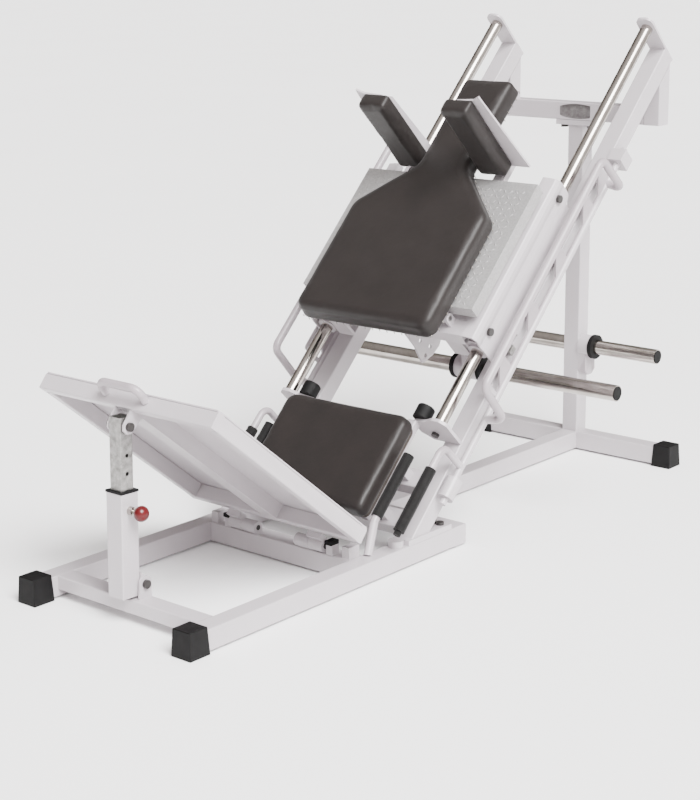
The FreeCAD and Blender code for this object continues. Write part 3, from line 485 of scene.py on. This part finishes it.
def cushion(name, outline, radii, low, high, body, replaced, matrix, edge, crown, voxel=0.006, cap=0.005):
    """An upholstered pad: upright sides pulled in at the base, a soft edge and a crowned face."""
    height = high - low
    ring = rounded(outline, radii)
    side = 0.004
    tuck = 0.006
    held_below = 0.006
    held_over = 0.02
    arc_steps = 6
    levels = [(side + tuck, low), (side + 0.001, low + height * 0.08), (side, low + height * 0.25),
              (side, low + height - edge)]
    for step in range(1, arc_steps + 1):
        angle = math.pi / 2 * step / arc_steps
        levels.append((side + edge * (1 - math.cos(angle)), high - crown - edge + edge * math.sin(angle)))
    for reach, rise in CROWN_RINGS:
        levels.append((edge + reach, high - crown + crown * rise))
    bm = stacked(ring, levels, Matrix.Identity(4))
    item = new_object(name, mesh_from(bm, name), "vinyl", body)
    inflate(item, voxel, cap, lambda point: min(1.0, max(0.0, (point.z - low - held_below) / held_over)))
    for vertex in item.data.vertices:
        point = vertex.co
        if point.z > low + height * 0.5:
            point.z += crease_height(point)
        point.z = min(max(point.z, low), high)
    item.data.transform(matrix)
    item.data.update()
    subdivide(item)
    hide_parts(*replaced)


def crease_height(point):
    """Broad and fine unevenness of a cushion's face."""
    broad = noise.noise(Vector((point.x * 9, point.y * 9, 3.1))) * 0.0012
    fine = noise.noise(Vector((point.x * 30, point.y * 22, 7.7))) * 0.0004
    return broad + fine


def subdivide(item):
    """One level of subdivision, applied."""
    modifier = item.modifiers.new("smooth", "SUBSURF")
    modifier.levels = 1
    modifier.render_levels = 1
    apply_modifiers(item)
    for face in item.data.polygons:
        face.use_smooth = True


def seat_cushion():
    """The seat pad, with wider corners at its upper end."""
    low, high = in_rails("seat_pad")
    outline = [(low.x, low.y), (high.x, low.y), (high.x, high.y), (low.x, high.y)]
    cushion("seat_cushion", outline, [0.030, 0.030, 0.042, 0.042], low.z, high.z, "frame", ["seat_pad"],
            RAILS, edge=0.014, crown=0.004)


def back_cushion():
    """The back pad, as wide as the hips below and as narrow as the neck above, wrapped over its board."""
    low, high = in_rails("back_pad")
    base = in_rails("back_board")[0].z
    clearance = 0.0005
    staple_rise = 0.009
    neck = 98 * MM
    shoulder = low.y + 421 * MM
    narrow = low.y + 587 * MM
    right = [(high.x, low.y), (high.x, shoulder), (neck, narrow), (neck, high.y)]
    outline = right + [(-x, y) for x, y in reversed(right)]
    radii = [0.042, 0.060, 0.060, 0.024, 0.024, 0.060, 0.060, 0.042]
    cushion("back_cushion", outline, radii, base + clearance, high.z, "press_plate", ["back_pad", "back_board"],
            RAILS, edge=0.019, crown=0.004)
    staples(rounded(outline, radii, 10), base + staple_rise)


def staples(ring, level):
    """Wire staples round the edge of the back pad, where the vinyl is fixed to the board."""
    pitch = 0.028
    wire = 0.0013
    half_length = 0.0055
    inset = 0.0040
    proud = 0.001
    lean = Matrix.Rotation(math.radians(18), 4, "Y")
    bm = bmesh.new()
    carry = 0.0
    count = len(ring)
    inner = inset_outline(ring, inset)
    for number in range(count):
        one, two = inner[number], inner[(number + 1) % count]
        run = (two - one).length
        if run < 1e-6:
            continue
        way = (two - one) / run
        outward = Vector((way.y, -way.x, 0))
        turn = Matrix((Vector((way.x, way.y, 0)), outward, Vector((0, 0, 1)))).transposed().to_4x4()
        place = pitch - carry
        while place < run:
            spot = one + way * place
            centre = Vector((spot.x, spot.y, level)) + outward * proud
            pin(bm, RAILS @ Matrix.Translation(centre) @ turn @ lean, wire, half_length)
            place += pitch
        carry = run - (place - pitch)
    new_object("back_staples", mesh_from(bm, "back_staples"), "chrome", "press_plate")


def pin(bm, matrix, radius, half):
    """A short wire along its own Z, rounded at both ends."""
    rings = []
    for height, share in ((-1, 0.3), (-0.88, 1), (0.88, 1), (1, 0.3)):
        ring = []
        for step in range(6):
            angle = math.tau * step / 6
            reach = radius * share
            point = Vector((reach * math.cos(angle), reach * math.sin(angle), half * height))
            ring.append(bm.verts.new(matrix @ point))
        rings.append(ring)
    for low, high in zip(rings, rings[1:]):
        for step in range(6):
            after = (step + 1) % 6
            bm.faces.new((low[step], low[after], high[after], high[step]))
    bm.faces.new(rings[-1])
    bm.faces.new(list(reversed(rings[0])))


def shoulder_cushions():
    """The two shoulder pads, which stand out of the slope. Their outline lies across it."""
    low, high = in_rails("shoulder_pads")
    inner = 102 * MM
    flip = Matrix(((1, 0, 0, 0), (0, 0, -1, 0), (0, 1, 0, 0), (0, 0, 0, 1)))
    corner = 0.018
    right = [(inner, low.z), (high.x, low.z), (high.x, high.z), (inner, high.z)]
    left = [(-x, y) for x, y in reversed(right)]
    for name, outline in (("shoulder_cushion_left", left), ("shoulder_cushion_right", right)):
        cushion(name, outline, [corner] * 4, -high.y, -low.y, "press_plate", ["shoulder_pads"],
                RAILS @ flip, edge=0.013, crown=0.003, voxel=0.005, cap=0.004)


# ---------------------------------------------------------------- tread plate

def tread_pattern():
    """Raised lozenges on the tray, in two crossing directions."""
    low, high = in_rails("tread_plate")
    pitch = 0.0215
    border = 0.006
    bm = bmesh.new()
    across = int((high.x - low.x - 2 * border) / pitch)
    up = int((high.y - low.y - 2 * border) / pitch)
    for column in range(across):
        for row in range(up):
            x = low.x + border + pitch * (column + 0.5)
            y = low.y + border + pitch * (row + 0.5)
            angle = math.radians(45 if (column + row) % 2 else -45)
            lozenge(bm, RAILS @ Matrix.Translation((x, y, high.z)) @ Matrix.Rotation(angle, 4, "Z"))
    new_object("tread_lozenges", mesh_from(bm, "tread_lozenges"), "tread", "press_plate")


def lozenge(bm, matrix):
    """One raised lens: long and narrow, highest in the middle."""
    half = 0.0098
    wide = 0.0030
    rise = 0.0011
    root = 0.0004
    ring = []
    top = []
    for step in range(8):
        angle = math.tau * step / 8
        x = math.cos(angle)
        y = math.sin(angle)
        ring.append(bm.verts.new(matrix @ Vector((half * x, wide * y, -root))))
        top.append(bm.verts.new(matrix @ Vector((half * 0.62 * x, wide * 0.5 * y, rise))))
    for step in range(8):
        after = (step + 1) % 8
        bm.faces.new((ring[step], ring[after], top[after], top[step]))
    bm.faces.new(top)
    bm.faces.new(list(reversed(ring)))


# ---------------------------------------------------------------- stage, light and camera

def stage():
    """A wide pale floor, half a millimetre below the feet."""
    bpy.ops.mesh.primitive_plane_add(size=FLOOR_SIZE, location=(0, 0, FLOOR_LEVEL))
    floor = bpy.context.object
    floor.name = "studio_floor"
    shade = Shade("floor_paper", Specular_IOR_Level=0.1)
    shade.color(shade.ramp(shade.noise(0.6, 2), (0.3, (0.955, 0.955, 0.955)), (0.7, (0.975, 0.975, 0.975))))
    shade.roughness(shade.span(shade.noise(2, 2), 0.8, 0.9))
    floor.data.materials.append(shade.material)


def world():
    """A soft studio: bright to the right of the machine and above it, darker to the left and behind."""
    sky = bpy.data.worlds.new("studio")
    bpy.context.scene.world = sky
    sky.use_nodes = True
    tree = sky.node_tree
    back = tree.nodes["Background"]
    back.inputs["Strength"].default_value = 1.0
    place = tree.nodes.new("ShaderNodeTexCoord")
    toward = tree.nodes.new("ShaderNodeVectorMath")
    toward.operation = "DOT_PRODUCT"
    toward.inputs[1].default_value = SKY_DIRECTION
    ramp = tree.nodes.new("ShaderNodeValToRGB")
    spread = tree.nodes.new("ShaderNodeMapRange")
    spread.inputs["From Min"].default_value = -1
    tree.links.new(place.outputs["Generated"], toward.inputs[0])
    tree.links.new(toward.outputs["Value"], spread.inputs["Value"])
    tree.links.new(spread.outputs["Result"], ramp.inputs["Fac"])
    tree.links.new(ramp.outputs["Color"], back.inputs["Color"])
    stops = ((0.0, 0.05), (0.35, 0.20), (0.6, 0.80), (1.0, 1.7))
    elements = ramp.color_ramp.elements
    while len(elements) < len(stops):
        elements.new(0.5)
    for element, (spot, value) in zip(elements, stops):
        element.position = spot
        element.color = (value, value * (0.90 + 0.06 * spot), value * (0.83 + 0.12 * spot), 1)


def strip_light():
    """A narrow light high on the right, which draws bright lines along the chrome."""
    light = bpy.data.lights.new("strip", "AREA")
    light.shape = "RECTANGLE"
    light.size, light.size_y = STRIP_SIZE
    light.energy = STRIP_POWER
    item = bpy.data.objects.new("strip", light)
    bpy.context.scene.collection.objects.link(item)
    item.location = STRIP_PLACE
    item.rotation_euler = (Vector(STRIP_TARGET) - Vector(STRIP_PLACE)).to_track_quat("-Z", "Y").to_euler()


def key_light():
    """A wide, even light from the upper right, so that the floor is lit alike everywhere."""
    light = bpy.data.lights.new("key", "SUN")
    light.energy = KEY_POWER
    light.angle = KEY_SPREAD
    item = bpy.data.objects.new("key", light)
    bpy.context.scene.collection.objects.link(item)
    item.rotation_euler = Vector(KEY_DIRECTION).to_track_quat("Z", "Y").to_euler()


def camera():
    """A long lens in front of the machine, to its right and a little above the top bar."""
    level = math.cos(CAMERA_PITCH)
    forward = Vector((-math.sin(CAMERA_YAW) * level, math.cos(CAMERA_YAW) * level, math.sin(CAMERA_PITCH)))
    right = Vector((math.cos(CAMERA_YAW), math.sin(CAMERA_YAW), 0))
    up = right.cross(forward)
    turn = Matrix((right, up, -forward)).transposed().to_4x4() @ Matrix.Rotation(CAMERA_ROLL, 4, "Z")
    data = bpy.data.cameras.new("camera")
    data.lens = LENS
    data.sensor_width = SENSOR
    data.clip_end = VIEW_END
    item = bpy.data.objects.new("camera", data)
    bpy.context.scene.collection.objects.link(item)
    item.matrix_world = Matrix.Translation(CAMERA_PLACE) @ turn
    bpy.context.scene.camera = item


dress_cad_nodes()
seat_cushion()
back_cushion()
shoulder_cushions()
tread_pattern()
stage()
world()
key_light()
strip_light()
camera()
